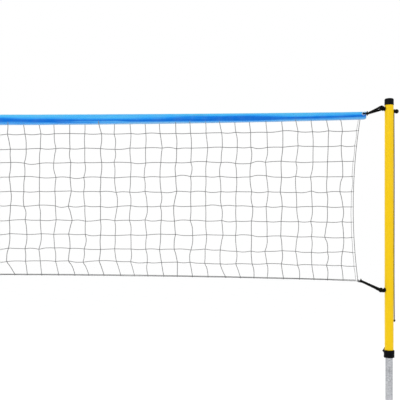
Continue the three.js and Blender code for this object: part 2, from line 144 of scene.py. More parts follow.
# --- Hanging cords -------------------------------------------------------------
# Each pole carries a limp black braided cord, 6 mm thick and 1.37 m long. A loop
# in its top goes round the neck of the outer stud, and a knot stops its end.

pole_x = (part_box("upper_pole_right")[0].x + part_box("upper_pole_right")[1].x) / 2
pole_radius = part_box("upper_pole_right")[1].y
stay_radius = 0.003
stay_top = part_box("stay_cord_right")[1].z
stay_route = [
    (0.0033, 0.0), (0.0033, 0.03), (0.0034, 0.09), (0.0038, 0.17), (0.0042, 0.26), (0.0045, 0.35),
    (0.0046, 0.44), (0.0045, 0.53), (0.0043, 0.62), (0.0041, 0.72), (0.0039, 0.82), (0.0038, 0.92),
    (0.0038, 1.02), (0.0039, 1.12), (0.0044, 1.23), (0.0056, 1.37),
]


def new_group(name, inputs, outputs):
    """An empty shader node group with named number or vector sockets."""
    group = bpy.data.node_groups.new(name, "ShaderNodeTree")
    for socket, kind in inputs.items():
        group.interface.new_socket(socket, in_out="INPUT", socket_type="NodeSocket" + kind)
    for socket, kind in outputs.items():
        group.interface.new_socket(socket, in_out="OUTPUT", socket_type="NodeSocket" + kind)
    return group, group.nodes.new("NodeGroupInput").outputs, group.nodes.new("NodeGroupOutput").inputs


def put_group(tree, group, inputs):
    return put_node(tree, "ShaderNodeGroup", {"node_tree": group}, inputs).outputs


def maths(tree, operation, *values):
    return put_node(tree, "ShaderNodeMath", {"operation": operation}, dict(enumerate(values))).outputs[0]


# Strands that cross each other round a cord. The cord's UV map runs 0 to 1 round it, and in metres along it.
braid, given, result = new_group(
    "braid", {"Along": "Vector", "Strands": "Float", "Pitch": "Float"}, {"Height": "Float", "Gap": "Float"}
)
round_and_along = put_node(braid, "ShaderNodeSeparateXYZ", inputs={0: given["Along"]})
turn = maths(braid, "MULTIPLY", maths(braid, "MULTIPLY", round_and_along.outputs[0], given["Strands"]), tau)
climb = maths(braid, "MULTIPLY", maths(braid, "DIVIDE", round_and_along.outputs[1], given["Pitch"]), tau)
one_way = maths(braid, "SINE", maths(braid, "ADD", turn, climb))
other_way = maths(braid, "SINE", maths(braid, "SUBTRACT", turn, climb))
crossing = maths(braid, "MAXIMUM", maths(braid, "ABSOLUTE", one_way), maths(braid, "ABSOLUTE", other_way))
braid.links.new(crossing, result["Height"])
# Gap is 1 between the strands; the cord materials darken it as painted shade.
braid.links.new(maths(braid, "SUBTRACT", 1.0, crossing), result["Gap"])

# Pale dust that settles in patches, thickest on faces that look up, and small rubbed marks.
wear, given, result = new_group(
    "dust and rub", {"Place": "Vector", "Dust": "Float", "Rub": "Float"}, {"Dust": "Float", "Rub": "Float"}
)
facing = put_node(wear, "ShaderNodeNewGeometry")
upward = put_node(wear, "ShaderNodeSeparateXYZ", inputs={0: facing.outputs["Normal"]})
settled = maths(wear, "MULTIPLY_ADD", upward.outputs["Z"], 0.4, 0.6)
patches = put_node(
    wear, "ShaderNodeTexNoise", inputs={"Vector": given["Place"], "Scale": 14.0, "Detail": 5.0}
)
dusty = put_node(wear, "ShaderNodeMapRange", inputs={0: patches.outputs["Fac"], 1: 0.42, 2: 0.75})
dust_mask = maths(wear, "MULTIPLY", maths(wear, "MULTIPLY", dusty.outputs[0], settled), given["Dust"])
wear.links.new(dust_mask, result["Dust"])
marks = put_node(
    wear, "ShaderNodeTexNoise",
    inputs={"Vector": given["Place"], "Scale": 60.0, "Detail": 8.0, "Distortion": 1.5}
)
rubbed = put_node(wear, "ShaderNodeMapRange", inputs={0: marks.outputs["Fac"], 1: 0.6, 2: 0.66})
wear.links.new(maths(wear, "MULTIPLY", rubbed.outputs[0], given["Rub"]), result["Rub"])


def tinted(tree, mask, base, over):
    """The base colour with another laid over it where the mask is 1."""
    return put_node(tree, "ShaderNodeMix", {"data_type": "RGBA"}, {0: mask, 6: base, 7: over}).outputs[2]


def bump(tree, shader, height, distance, strength=1.0):
    made = put_node(
        tree, "ShaderNodeBump", inputs={"Height": height, "Distance": distance, "Strength": strength}
    )
    tree.links.new(made.outputs["Normal"], shader.inputs["Normal"])


def cord_material(name, sockets, pattern, spacing, tones, dust, dusty, relief):
    """A cord's material: strands that follow its UV map, darkened in the gaps between them as painted shade,
    under dust.
    """
    material, tree, shader = new_material(name, sockets)
    place = put_node(tree, "ShaderNodeTexCoord").outputs
    strands = put_group(tree, pattern, {"Along": place["UV"], **spacing})
    worn = put_group(tree, wear, {"Place": place["Object"], "Dust": dust, "Rub": 0.0})
    # Painted shade: the tones run darker where the gaps between the strands are.
    yarn_with_gap_shade = ramp(tree, strands["Gap"], tones)
    tree.links.new(tinted(tree, worn["Dust"], yarn_with_gap_shade, dusty), shader.inputs["Base Color"])
    bump(tree, shader, strands["Height"], relief)
    return material


# Painted shade: the second, darker tone fills the gaps between the braid's strands.
black_braid = cord_material(
    "black braided cord", {"Roughness": 0.75, "Specular IOR Level": 0.05},
    braid, {"Strands": 4.0, "Pitch": 0.012},
    [(0.05, (0.006, 0.006, 0.0055, 1)), (0.3, (0.0015, 0.0015, 0.0015, 1))],
    0.25, (0.03, 0.03, 0.03, 1), 0.0006,
)


def lay_cord(bm, route, radius, sides=10, steps=6, closed=False):
    """A round cord along a smooth curve through the route, added to bm."""
    curve = bpy.data.curves.new("route", "CURVE")
    curve.dimensions = "3D"
    curve.bevel_depth = radius
    curve.bevel_resolution = sides // 2 - 2
    curve.resolution_u = steps
    curve.use_fill_caps = not closed
    spline = curve.splines.new("BEZIER")
    spline.use_cyclic_u = closed
    spline.bezier_points.add(len(route) - 1)
    for point, spot in zip(spline.bezier_points, route):
        point.co = spot
        point.handle_left_type = point.handle_right_type = "AUTO"
    length = spline.calc_length()
    carrier = bpy.data.objects.new("route", curve)
    tube = bpy.data.meshes.new_from_object(carrier)
    for corner in tube.uv_layers[0].data:
        corner.uv.y *= length
    bm.from_mesh(tube)
    bpy.data.objects.remove(carrier)
    bpy.data.curves.remove(curve)
    bpy.data.meshes.remove(tube)


def finish_piece(bm, name, material, body, slot, nodes=(), edge=0.0):
    """Makes bm the piece of that name, with rounded edges if edge is a width, riding on a CAD body."""
    bmesh.ops.remove_doubles(bm, verts=bm.verts, dist=1e-6)
    bmesh.ops.recalc_face_normals(bm, faces=bm.faces)
    mesh = bpy.data.meshes.new(name)
    bm.to_mesh(mesh)
    bm.free()
    mesh.shade_smooth()
    mesh.materials.append(material)
    piece = bpy.data.objects.new(name, mesh)
    scene.collection.objects.link(piece)
    if edge:
        rounding = piece.modifiers.new("rounded edges", "BEVEL")
        rounding.width = edge
        rounding.segments = 2
        rounding.limit_method = "ANGLE"
        rounding.angle_limit = radians(30)
        rounding.harden_normals = True
    else:
        mesh.set_sharp_from_angle(angle=radians(40))
    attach(piece, body)
    if nodes:
        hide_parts(*nodes)
    return piece


def ring_route(count, spot):
    """A closed route through spot(t), at equal steps of t round a full turn."""
    return [spot(tau * i / count) for i in range(count)]


def pulled_knot(centre, size):
    """The route of an overhand knot drawn tight round a point: half sizes across, through and along."""

    def strand(t):
        across = (sin(t) + 2 * sin(2 * t)) / 3
        up = (cos(t) - 2 * cos(2 * t)) / 3
        return Vector(centre) + Vector((across * size[0], -sin(3 * t) * size[1], up * size[2]))

    return ring_route(18, strand)


def middle_of(node):
    """The middle of a CAD node's box."""
    low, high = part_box(node)
    return (low + high) / 2


stay_knot_size = (0.0042, 0.0036, 0.0055)


for word, side in both_sides:
    route = [Vector((side * (pole_x + pole_radius + out), 0, stay_top - drop)) for out, drop in stay_route]
    bm = bmesh.new()
    lay_cord(bm, route, stay_radius, sides=12, steps=8)
    hanging = finish_piece(
        bm, f"hanging_cord_{word}", black_braid, "net_frame", "black_cord", [f"stay_cord_{word}"]
    )

    bm = bmesh.new()
    low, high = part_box(f"stay_knot_{word}")
    end = (low + high) / 2
    lay_cord(bm, pulled_knot(end, stay_knot_size), stay_radius, closed=True)
    lay_cord(
        bm, [(end.x, 0, high.z + 0.001), (end.x, 0, end.z), (end.x + side * 0.001, 0, low.z)], stay_radius
    )
    knot = finish_piece(
        bm, f"hanging_cord_knot_{word}", black_braid, "net_frame", "black_cord", [f"stay_knot_{word}"]
    )

    bm = bmesh.new()
    eye = middle_of(f"stay_loop_{word}")
    drop = [(0.0, 0.0081), (0.0060, 0.0056), (0.0082, -0.001), (0.0056, -0.0085), (0.001, -0.0135)]
    ring = [(y, z) for y, z in drop] + [(-y, z) for y, z in reversed(drop[1:])]
    lay_cord(bm, [(eye.x, y, eye.z + z) for y, z in ring], stay_radius, closed=True)
    tie = Vector((side * (pole_x + pole_radius + 0.0033), 0, stay_top + 0.001))
    lay_cord(bm, pulled_knot(tie, stay_knot_size), stay_radius, closed=True)
    finish_piece(
        bm, f"hanging_cord_loop_{word}", black_braid, "net_frame", "black_cord", [f"stay_loop_{word}"]
    )

    path = []
    for start, stop in zip(route, route[1:]):
        path += [start.lerp(stop, share / 4) for share in range(4)]


# --- Bases ---------------------------------------------------------------------
# Each pole stands on a heavy round foot of moulded black rubber, filled through its
# underside. Twelve shallow panels and two ribs are moulded into its top.

fine_grain, given, result = new_group(
    "fine grain", {"Place": "Vector", "Scale": "Float"}, {"Height": "Float", "Speckle": "Float"}
)
pebbles = put_node(
    fine_grain, "ShaderNodeTexVoronoi", inputs={"Vector": given["Place"], "Scale": given["Scale"]}
)
waves = put_node(
    fine_grain, "ShaderNodeTexNoise", inputs={
        "Vector": given["Place"], "Scale": given["Scale"], "Detail": 3.0
    }
)
mixed = maths(
    fine_grain, "ADD", maths(fine_grain, "MULTIPLY", pebbles.outputs["Distance"], 0.5), waves.outputs["Fac"]
)
fine_grain.links.new(mixed, result["Height"])
fine_grain.links.new(waves.outputs["Fac"], result["Speckle"])

def grained_material(name, sockets, scale, tones, relief, rub=(), dust=(), roughness=()):
    """A material with a fine grain. Rub and dust are an amount and a colour, relief a bump's distance and
    strength, and roughness the output that it follows, with its slope and its value at 0."""
    material, tree, shader = new_material(name, sockets)
    place = put_node(tree, "ShaderNodeTexCoord").outputs["Object"]
    grain = put_group(tree, fine_grain, {"Place": place, "Scale": scale})
    colour = ramp(tree, grain["Speckle"], tones)
    follows = {"Speckle": grain["Speckle"]}
    if rub:
        worn = put_group(tree, wear, {"Place": place, "Dust": dust[0] if dust else 0.0, "Rub": rub[0]})
        colour = tinted(tree, worn["Rub"], colour, rub[1])
        follows["Rub"] = worn["Rub"]
        if dust:
            colour = tinted(tree, worn["Dust"], colour, dust[1])
    tree.links.new(colour, shader.inputs["Base Color"])
    if roughness:
        source, slope, level = roughness
        tree.links.new(maths(tree, "MULTIPLY_ADD", follows[source], slope, level), shader.inputs["Roughness"])
    bump(tree, shader, grain["Height"], *relief)
    return material


moulded_rubber = grained_material(
    "moulded rubber", {"Roughness": 0.75}, 420.0,
    [(0.3, (0.012, 0.012, 0.013, 1)), (0.7, (0.024, 0.024, 0.026, 1))], (0.0004, 0.6),
    rub=(0.4, (0.06, 0.06, 0.06, 1)), dust=(0.5, (0.16, 0.15, 0.135, 1)), roughness=("Rub", -0.2, 0.75),
)


def turned(profile, segments=64):
    """A bmesh turned about Z from (radius, height) points that run up the outside."""
    bm = bmesh.new()
    rim = [bm.verts.new((radius, 0, height)) for radius, height in profile]
    edges = [bm.edges.new(pair) for pair in zip(rim, rim[1:])]
    bmesh.ops.spin(
        bm, geom=rim + edges, axis=(0, 0, 1), cent=(0, 0, 0), angle=tau, steps=segments, use_merge=True
    )
    bmesh.ops.remove_doubles(bm, verts=bm.verts, dist=1e-6)
    bmesh.ops.recalc_face_normals(bm, faces=bm.faces)
    return bm


def quarter(centre, radius, start, stop, count=5):
    """(radius, height) points of an arc in a profile, from one angle to another in degrees."""
    angles = [radians(start + (stop - start) * i / count) for i in range(count + 1)]
    return [(centre[0] + radius * cos(a), centre[1] + radius * sin(a)) for a in angles]


def move(bm, offset):
    bmesh.ops.translate(bm, verts=bm.verts, vec=Vector(offset))


def finish_on_pole(bm, side, *piece):
    """Moves a bmesh built round the Z axis to the pole on one side, and makes it a piece."""
    move(bm, (side * pole_x, 0, 0))
    finish_piece(bm, *piece)


panel_count = 12

for word, side in both_sides:
    low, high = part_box(f"base_{word}")
    rim, top = (high.x - low.x) / 2, high.z
    profile = [(0, 0), (rim - 0.006, 0), (rim, 0.006), (rim, 0.016), (rim - 0.003, 0.018),
               (rim - 0.003, 0.022), (rim, 0.024)]
    profile += quarter((rim - 0.025, 0.043), 0.025, 0, 90)
    profile += [(0.222, 0.0692), (0.218, 0.0722), (0.212, 0.0722), (0.208, 0.0692)]
    profile += [(0.112, 0.0722), (0.108, 0.0752), (0.096, 0.0752), (0.092, top), (0.06, top), (0, top)]
    profile = [(r, min(z, top)) for r, z in profile]
    bm = turned(profile, 96)
    panels = [face for face in bm.faces
              if 0.115 < face.calc_center_median().xy.length < 0.205 and face.normal.z > 0.9]
    for number in range(panel_count):
        middle = tau * (number + 0.5) / panel_count
        heading = Vector((cos(middle), sin(middle)))
        near = [face for face in panels if face.is_valid
                and face.calc_center_median().xy.angle(heading) < radians(11)]
        bmesh.ops.inset_region(bm, faces=near, thickness=0.005, depth=-0.0025)
    finish_on_pole(
        bm, side, f"rubber_base_{word}", moulded_rubber, "lower_poles", "black_rubber", [f"base_{word}"],
        0.0012
    )


# --- Sockets -------------------------------------------------------------------
# A galvanised steel flange with a tube welded on it takes the foot of each pole.
# A nut welded to the back of the tube takes the clamping knob's screw.

spangle, given, result = new_group(
    "zinc spangle", {"Place": "Vector", "Scale": "Float"}, {"Tone": "Float", "Height": "Float"}
)
flakes = put_node(spangle, "ShaderNodeTexVoronoi", inputs={"Vector": given["Place"], "Scale": given["Scale"]})
flake = put_node(spangle, "ShaderNodeSeparateColor", inputs={0: flakes.outputs["Color"]})
cloud = put_node(
    spangle, "ShaderNodeTexNoise", inputs={"Vector": given["Place"], "Scale": 24.0, "Detail": 4.0}
)
spangle.links.new(
    maths(
        spangle, "MULTIPLY_ADD", flake.outputs[0], 0.45, maths(spangle, "MULTIPLY", cloud.outputs["Fac"], 0.5)
    ),
    result["Tone"],
)
spangle.links.new(flakes.outputs["Distance"], result["Height"])

galvanised, tree, shader = new_material("galvanised steel", {"Metallic": 0.9})
place = put_node(tree, "ShaderNodeTexCoord").outputs["Object"]
zinc_skin = put_group(tree, spangle, {"Place": place, "Scale": 160.0})
worn = put_group(tree, wear, {"Place": place, "Dust": 0.25, "Rub": 0.35})
tone = ramp(tree, zinc_skin["Tone"], [(0.2, (0.33, 0.34, 0.36, 1)), (0.8, (0.62, 0.63, 0.65, 1))])
tree.links.new(tinted(tree, worn["Dust"], tone, (0.4, 0.39, 0.36, 1)), shader.inputs["Base Color"])
tree.links.new(maths(tree, "MULTIPLY_ADD", zinc_skin["Tone"], 0.3, 0.28), shader.inputs["Roughness"])
bump(tree, shader, zinc_skin["Height"], 0.0002, 0.3)


def add_copy(bm, other):
    """Adds another bmesh's faces to bm, and frees it."""
    mesh = bpy.data.meshes.new("copy")
    other.to_mesh(mesh)
    other.free()
    bm.from_mesh(mesh)
    bpy.data.meshes.remove(mesh)


def spin(bm, angle, axis):
    """Turns a whole bmesh about X, Y or Z."""
    bmesh.ops.rotate(bm, verts=bm.verts, cent=(0, 0, 0), matrix=Matrix.Rotation(angle, 3, axis))


def to_the_back(bm, height):
    """Turns a bmesh built up Z so that it points along +Y, at a height."""
    spin(bm, -pi / 2, "X")
    move(bm, (0, 0, height))


socket_knob_z = middle_of("socket_knob_right").z
flange_thick, socket_wall, nut_reach = 0.006, 0.0055, 0.013
tube_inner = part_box("lower_pole_right")[1].y + 0.0003
for word, side in both_sides:
    low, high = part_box(f"socket_{word}")
    flange = (high.x - low.x) / 2
    floor_z, wall = low.z + flange_thick, tube_inner + socket_wall
    weld = [(wall + 0.008, floor_z), (wall + 0.0065, floor_z + 0.0035), (wall + 0.0035, floor_z + 0.0065)]
    profile = [(0, low.z), (flange, low.z), (flange, floor_z), *weld, (wall, floor_z + 0.008), (wall, high.z),
               (tube_inner, high.z), (tube_inner, floor_z), (0, floor_z)]
    bm = turned(profile, 72)
    weld_points = [v for v in bm.verts
                   if wall + 0.001 < v.co.xy.length < wall + 0.0079 and v.co.z > floor_z + 0.001]
    for ripple in weld_points:
        turn = Vector((1, 0)).angle_signed(ripple.co.xy.normalized())
        ripple.co.z += 0.0007 * sin(24 * turn)
    nut = bmesh.new()
    bmesh.ops.create_cone(nut, cap_ends=True, segments=6, radius1=nut_reach, radius2=nut_reach, depth=0.0155)
    move(nut, (0, 0, wall + 0.00625))
    weld_bead = quarter((0.0135, wall - 0.001), 0.0028, 0, 90, 4) + [(0.0100, wall - 0.001)]
    add_copy(nut, turned(weld_bead, 24))
    to_the_back(nut, socket_knob_z)
    add_copy(bm, nut)
    finish_on_pole(
        bm, side, f"pole_socket_{word}", galvanised, "lower_poles", "zinc", [f"socket_{word}"], 0.0008
    )


# --- Flange bolts --------------------------------------------------------------
# Three zinc-plated hexagon screws with washers hold each flange to inserts that are
# moulded into the rubber.

zinc_plate = grained_material(
    "zinc plate", {"Metallic": 1.0}, 900.0, [(0.3, (0.52, 0.53, 0.55, 1)), (0.7, (0.68, 0.69, 0.7, 1))],
    (0.0001, 0.4), rub=(0.5, (0.42, 0.42, 0.43, 1)), roughness=("Speckle", 0.25, 0.2),
)
shank, washer_reach, washer_thick = 0.005, 0.0098, 0.0014
head_reach, head_height = 0.0088, 0.005

for word, side in both_sides:
    for number in (1, 2, 3):
        node = f"flange_bolt_{word}_{number}"
        low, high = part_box(node)
        centre = (low + high) / 2
        seat = high.z - head_height - washer_thick
        bm = turned([(0, low.z), (shank - 0.001, low.z), (shank, low.z + 0.001), (shank, seat)], 20)
        washer = [(shank, seat), (washer_reach, seat), (washer_reach, seat + washer_thick),
                  (shank, seat + washer_thick), (shank, seat)]
        add_copy(bm, turned(washer, 32))
        head = bmesh.new()
        bmesh.ops.create_cone(
            head, cap_ends=True, segments=6, radius1=head_reach, radius2=head_reach, depth=head_height
        )
        crown = [face for face in head.faces if face.normal.z > 0.9]
        bmesh.ops.inset_region(head, faces=crown, thickness=0.0009, depth=0.0)
        outer = [v for v in head.verts if v.co.z > 0 and v.co.xy.length > 0.0085]
        bmesh.ops.translate(head, verts=outer, vec=(0, 0, -0.0008))
        spin(head, radians(17 * number), "Z")
        move(head, (0, 0, seat + washer_thick + head_height / 2))
        add_copy(bm, head)
        move(bm, (centre.x, centre.y, 0))
        finish_piece(bm, f"flange_screw_{word}_{number}", zinc_plate, "lower_poles", "zinc", [node], 0.0003)


# --- Clamping knobs ------------------------------------------------------------
# Moulded black plastic knobs with six soft lobes, each on a steel screw. One clamps
# each upper pole's collar, and one holds each lower pole in its socket.

black_plastic = grained_material(
    "black plastic", {"Roughness": 0.42, "Specular IOR Level": 0.06}, 700.0,
    [(0.3, (0.0018, 0.0020, 0.003, 1)), (0.7, (0.003, 0.0034, 0.005, 1))], (0.00015, 0.5),
    rub=(0.3, (0.012, 0.013, 0.016, 1)), dust=(0.15, (0.03, 0.03, 0.032, 1)),
    roughness=("Speckle", 0.25, 0.28),
)
knob_lobes, knob_reach, lobe_depth = 6, 0.026, 0.0025
screw_radius, thread_pitch = 0.005, 0.0015

for word, side in both_sides:
    for knob_node in (f"clamp_knob_{word}", f"socket_knob_{word}"):
        centre_z = middle_of(knob_node).z
        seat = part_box(knob_node)[1].y - 0.016
        hub_end = seat - 0.0117
        whole_name = knob_node.replace("_knob", "") + "_knob"
        head = bmesh.new()
        bmesh.ops.create_circle(head, cap_ends=True, segments=96, radius=knob_reach)
        for point in head.verts:
            turn = Vector((1, 0)).angle_signed(point.co.xy.normalized())
            point.co *= 1 - lobe_depth * (1 - cos(knob_lobes * turn)) / knob_reach
        lifted = bmesh.ops.extrude_face_region(head, geom=list(head.faces))["geom"]
        crown = [item for item in lifted if isinstance(item, bmesh.types.BMFace)]
        bmesh.ops.translate(head, verts=[v for f in crown for v in f.verts][:96], vec=(0, 0, 0.012))
        bmesh.ops.inset_region(head, faces=crown, thickness=0.003, depth=0.0022)
        bmesh.ops.inset_region(head, faces=crown, thickness=0.0065, depth=0.0014)
        bmesh.ops.inset_region(head, faces=crown, thickness=0.0012, depth=-0.0014)
        move(head, (0, 0, seat))
        hub = [(0, hub_end), (0.0095, hub_end), (0.011, hub_end + 0.0015), (0.0105, seat), (0, seat)]
        add_copy(head, turned(hub, 48))
        to_the_back(head, centre_z)
        finish_on_pole(head, side, f"{whole_name}_head", black_plastic, knob_node, "black_plastic",
                     [knob_node], 0.0009)

        start = tube_inner + 0.001
        screw = turned([(0, tube_inner), (screw_radius - 0.001, tube_inner), (screw_radius, start)], 24)
        threads = []
        crest = tube_inner + thread_pitch
        while crest < hub_end + 0.001:
            threads += [(screw_radius - 0.0008, crest), (screw_radius, crest + thread_pitch / 2)]
            crest += thread_pitch
        add_copy(screw, turned([(0, start), (screw_radius, start), *threads, (0, crest)], 24))
        to_the_back(screw, centre_z)
        finish_on_pole(screw, side, f"{whole_name}_screw", zinc_plate, knob_node, "zinc")


# --- Lower poles and inner guides ----------------------------------------------
# Galvanised steel tube, 48 mm across. A white nylon plug in its top slides inside
# the upper pole.

nylon = grained_material(
    "white nylon", {"Roughness": 0.5, "Subsurface Weight": 0.1}, 500.0,
    [(0.3, (0.6, 0.6, 0.57, 1)), (0.7, (0.7, 0.7, 0.67, 1))], (0.0002, 0.4),
)
tube_wall = 0.0015

for word, side in both_sides:
    low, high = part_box(f"lower_pole_{word}")
    outer, inner = high.y, high.y - tube_wall
    lip = [
        (outer, low.z), (outer, high.z - 0.0015), (outer - 0.0005, high.z - 0.0004), (outer - 0.0009, high.z)
    ]
    bm = turned([(inner, low.z), *lip, (inner, high.z), (inner, low.z)], 72)
    finish_on_pole(
        bm, side, f"galvanised_pole_{word}", galvanised, "lower_poles", "zinc", [f"lower_pole_{word}"], 0.0003
    )

    low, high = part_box(f"inner_guide_{word}")
    slide, shoulder = high.y, high.z - 0.012
    profile = [(0, low.z), (inner - 0.0003, low.z), (inner - 0.0003, shoulder), (slide, shoulder),
               (slide, shoulder + 0.004), (slide - 0.001, shoulder + 0.005),
               (slide - 0.001, shoulder + 0.007), (slide, shoulder + 0.008), (slide, high.z), (0, high.z)]
    bm = turned(profile, 64)
    finish_on_pole(
        bm, side, f"sliding_plug_{word}", nylon, "lower_poles", "nylon", [f"inner_guide_{word}"], 0.0005
    )


# --- Upper poles ---------------------------------------------------------------
# Steel tube, 58 mm across with a 1.5 mm wall, powder coated yellow. The coat has a
# faint orange-peel surface and small rubbed marks.

powder_coat = grained_material(
    "yellow powder coat", {"Roughness": 0.32, "Specular IOR Level": 0.15}, 260.0,
    [(0.25, (0.76, 0.49, 0.001, 1)), (0.75, (0.81, 0.53, 0.002, 1))], (0.00025, 0.5),
    rub=(0.12, (0.62, 0.38, 0.006, 1)), dust=(0.1, (0.76, 0.53, 0.08, 1)), roughness=("Speckle", 0.15, 0.24),
)

for word, side in both_sides:
    low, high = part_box(f"upper_pole_{word}")
    outer, inner = high.y, high.y - tube_wall
    profile = [(inner, low.z), (outer - 0.0006, low.z), (outer, low.z + 0.0006), (outer, high.z - 0.0006),
               (outer - 0.0006, high.z), (inner, high.z), (inner, low.z)]
    bm = turned(profile, 72)
    finish_on_pole(
        bm, side, f"yellow_pole_{word}", powder_coat, "net_frame", "yellow_paint", [f"upper_pole_{word}"],
        0.0002
    )


# --- Pole caps -----------------------------------------------------------------
# A moulded black plastic cap is pressed over the top of each pole, with a plug that
# grips inside the tube and a rolled lower edge.

for word, side in both_sides:
    low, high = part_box(f"pole_cap_{word}")
    rim = high.y
    skirt = high.z - 0.044
    plug = pole_radius - 0.0018
    profile = [(0, low.z), (plug - 0.001, low.z), (plug, low.z + 0.002), (plug, skirt), (rim - 0.0005, skirt),
               (rim, skirt + 0.0006), (rim, skirt + 0.003), (rim - 0.0008, skirt + 0.0042)]
    profile += [(rim - 0.0008, high.z - 0.0095)]
    profile += quarter((rim - 0.0088, high.z - 0.0088), 0.008, 0, 80, 7)
    profile += [(rim - 0.012, high.z - 0.0004), (0, high.z)]
    bm = turned(profile, 72)
    finish_on_pole(
        bm, side, f"plastic_cap_{word}", black_plastic, "net_frame", "black_plastic", [f"pole_cap_{word}"],
        0.0003
    )


# --- Collars and guide bushes --------------------------------------------------
# A black plastic collar is pushed over the foot of each upper pole. Inside it a nylon
# bush guides the lower pole. The clamping knob's screw passes through both, but the
# walls are modelled without its hole.

for word, side in both_sides:
    low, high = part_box(f"guide_bush_{word}")
    bush_outer = high.x - side * pole_x
    profile = [(tube_inner, low.z), (bush_outer, low.z), (bush_outer, high.z), (tube_inner + 0.0008, high.z),
               (tube_inner, high.z - 0.0012), (tube_inner, low.z)]
    bm = turned(profile, 64)
    finish_on_pole(
        bm, side, f"nylon_bush_{word}", nylon, "net_frame", "nylon", [f"guide_bush_{word}"], 0.0003
    )

    low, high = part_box(f"clamp_collar_{word}")
    rim = -low.y
    foot_of_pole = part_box(f"upper_pole_{word}")[0].z
    throat, bore = tube_inner + 0.0006, pole_radius + 0.0003
    profile = [(throat, low.z), (rim - 0.003, low.z), (rim - 0.0006, low.z + 0.0012), (rim, low.z + 0.003)]
    for rib in range(5):
        at = low.z + 0.012 + 0.0028 * rib
        profile += [(rim, at), (rim - 0.0009, at + 0.0007), (rim - 0.0009, at + 0.0014), (rim, at + 0.0021)]
    profile += [(rim, high.z - 0.004), (rim - 0.0007, high.z - 0.0012), (rim - 0.003, high.z), (bore, high.z),
                (bore, foot_of_pole - 0.0003), (throat, foot_of_pole - 0.0003), (throat, low.z)]
    bm = turned(profile, 96)
    boss = bmesh.new()
    boss_profile = [(0, rim - 0.002), (0.0145, rim - 0.002), (0.0132, rim + 0.002), (0.013, high.y - 0.001),
                    (0.012, high.y), (0.0056, high.y), (0.0056, high.y - 0.004), (0, high.y - 0.004)]
    add_copy(boss, turned(boss_profile, 48))
    to_the_back(boss, middle_of(f"clamp_knob_{word}").z)
    add_copy(bm, boss)
    finish_on_pole(
        bm, side, f"plastic_collar_{word}", black_plastic, "net_frame", "black_plastic",
        [f"clamp_collar_{word}"], 0.0004
    )


# --- Ball studs ----------------------------------------------------------------
# Black plastic balls on flared feet. Each pole has two on one bolt near its top, with
# the inner one tilted up, and a larger one lower down on a blind rivet.

tilt = radians(12)
stud_pair_z = middle_of("stud_bolt_right").z
lower_stud_z = middle_of("lower_stud_right").z
rivet_hole = 0.0051
wall = pole_radius
stud_makes = {
    # foot radius, neck radius, neck start, ball centre and ball radius, outwards from the pole's axis
    "upper_stud": (0.0155, 0.009, wall + 0.0095, wall + 0.0238, 0.0145, tilt, stud_pair_z, 1),
    "outer_stud": (0.008, 0.005, wall + 0.002, wall + 0.0214, 0.0145, tilt, stud_pair_z, -1),
    "lower_stud": (0.0165, 0.0095, wall + 0.0095, wall + 0.0255, 0.016, 0.0, lower_stud_z, 1),
}


def point_inwards(bm, side, raised, height):
    """Turns a bmesh built up Z so that it points from a pole towards the net, raised by an angle."""
    spin(bm, side * (raised - pi / 2), "Y")
    move(bm, (side * pole_x, 0, height))


for word, side in both_sides:
    for stud, (foot, neck, neck_start, ball, radius, raised, height, towards_net) in stud_makes.items():
        start = -sqrt(radius**2 - neck**2)
        inside = wall - 0.01
        profile = [(0, inside), (foot / 2, inside), (foot, inside), (foot, wall + 0.0004)]
        flare = neck_start - wall - 0.0012
        profile += [(neck + (foot - neck) * (1 - share) ** 1.15, wall + 0.0012 + flare * share)
                    for share in (0.06, 0.2, 0.4, 0.6, 0.8, 1.0)]
        start_angle = -90 + (180 / pi) * asin(neck / radius)
        if stud == "lower_stud":
            hole_angle = 90 - (180 / pi) * asin(rivet_hole / radius)
            profile += quarter((0, ball), radius, start_angle, hole_angle, 20)
            profile += [(rivet_hole, ball + 0.0035), (0, ball + 0.0035)]
        else:
            profile += quarter((0, ball), radius, start_angle, 90, 20)
        profile = [(max(r, 0), z) for r, z in profile]
        bm = turned(profile, 56)
        for point in bm.verts:
            sunk = 0.0009 if point.co.z < wall else 0.0003
            out = sqrt(wall**2 - point.co.y**2) - sunk
            point.co.z = max(point.co.z, (out + side * point.co.x * sin(raised)) / cos(raised))
        if towards_net < 0:
            spin(bm, pi, "Y")
        point_inwards(bm, side, raised, height)
        finish_piece(
            bm, f"ball_{stud}_{word}", black_plastic, "net_frame", "black_plastic", [f"{stud}_{word}"]
        )

    half = wall + 0.017
    profile = [(0, -half), (0.0034, -half), (0.004, -half + 0.0006), (0.004, half - 0.0006),
               (0.0034, half), (0, half)]
    bm = turned(profile, 32)
    point_inwards(bm, side, tilt, stud_pair_z)
    finish_piece(bm, f"threaded_stud_bolt_{word}", zinc_plate, "net_frame", "zinc", [f"stud_bolt_{word}"])

    seat, tail = wall + 0.0293, wall - 0.0022
    profile = [(0, tail - 0.0014), (0.0036, tail - 0.001), (0.0043, tail), (0.0024, tail), (0.0024, seat),
               (0.0048, seat), (0.0044, seat + 0.0011), (0.0026, seat + 0.0016), (0.0011, seat + 0.0016),
               (0.0010, seat + 0.0006), (0, seat + 0.0006)]
    bm = turned(profile, 32)
    point_inwards(bm, side, 0.0, lower_stud_z)
    finish_piece(bm, f"blind_rivet_{word}", zinc_plate, "net_frame", "zinc", [f"lower_rivet_{word}"])


# --- Elastics ------------------------------------------------------------------
# Doubled black elastic cords join the net's corners to the studs. Each goes twice over
# the ball and round its neck, and through a knot to a loop in the eyelet or ring.

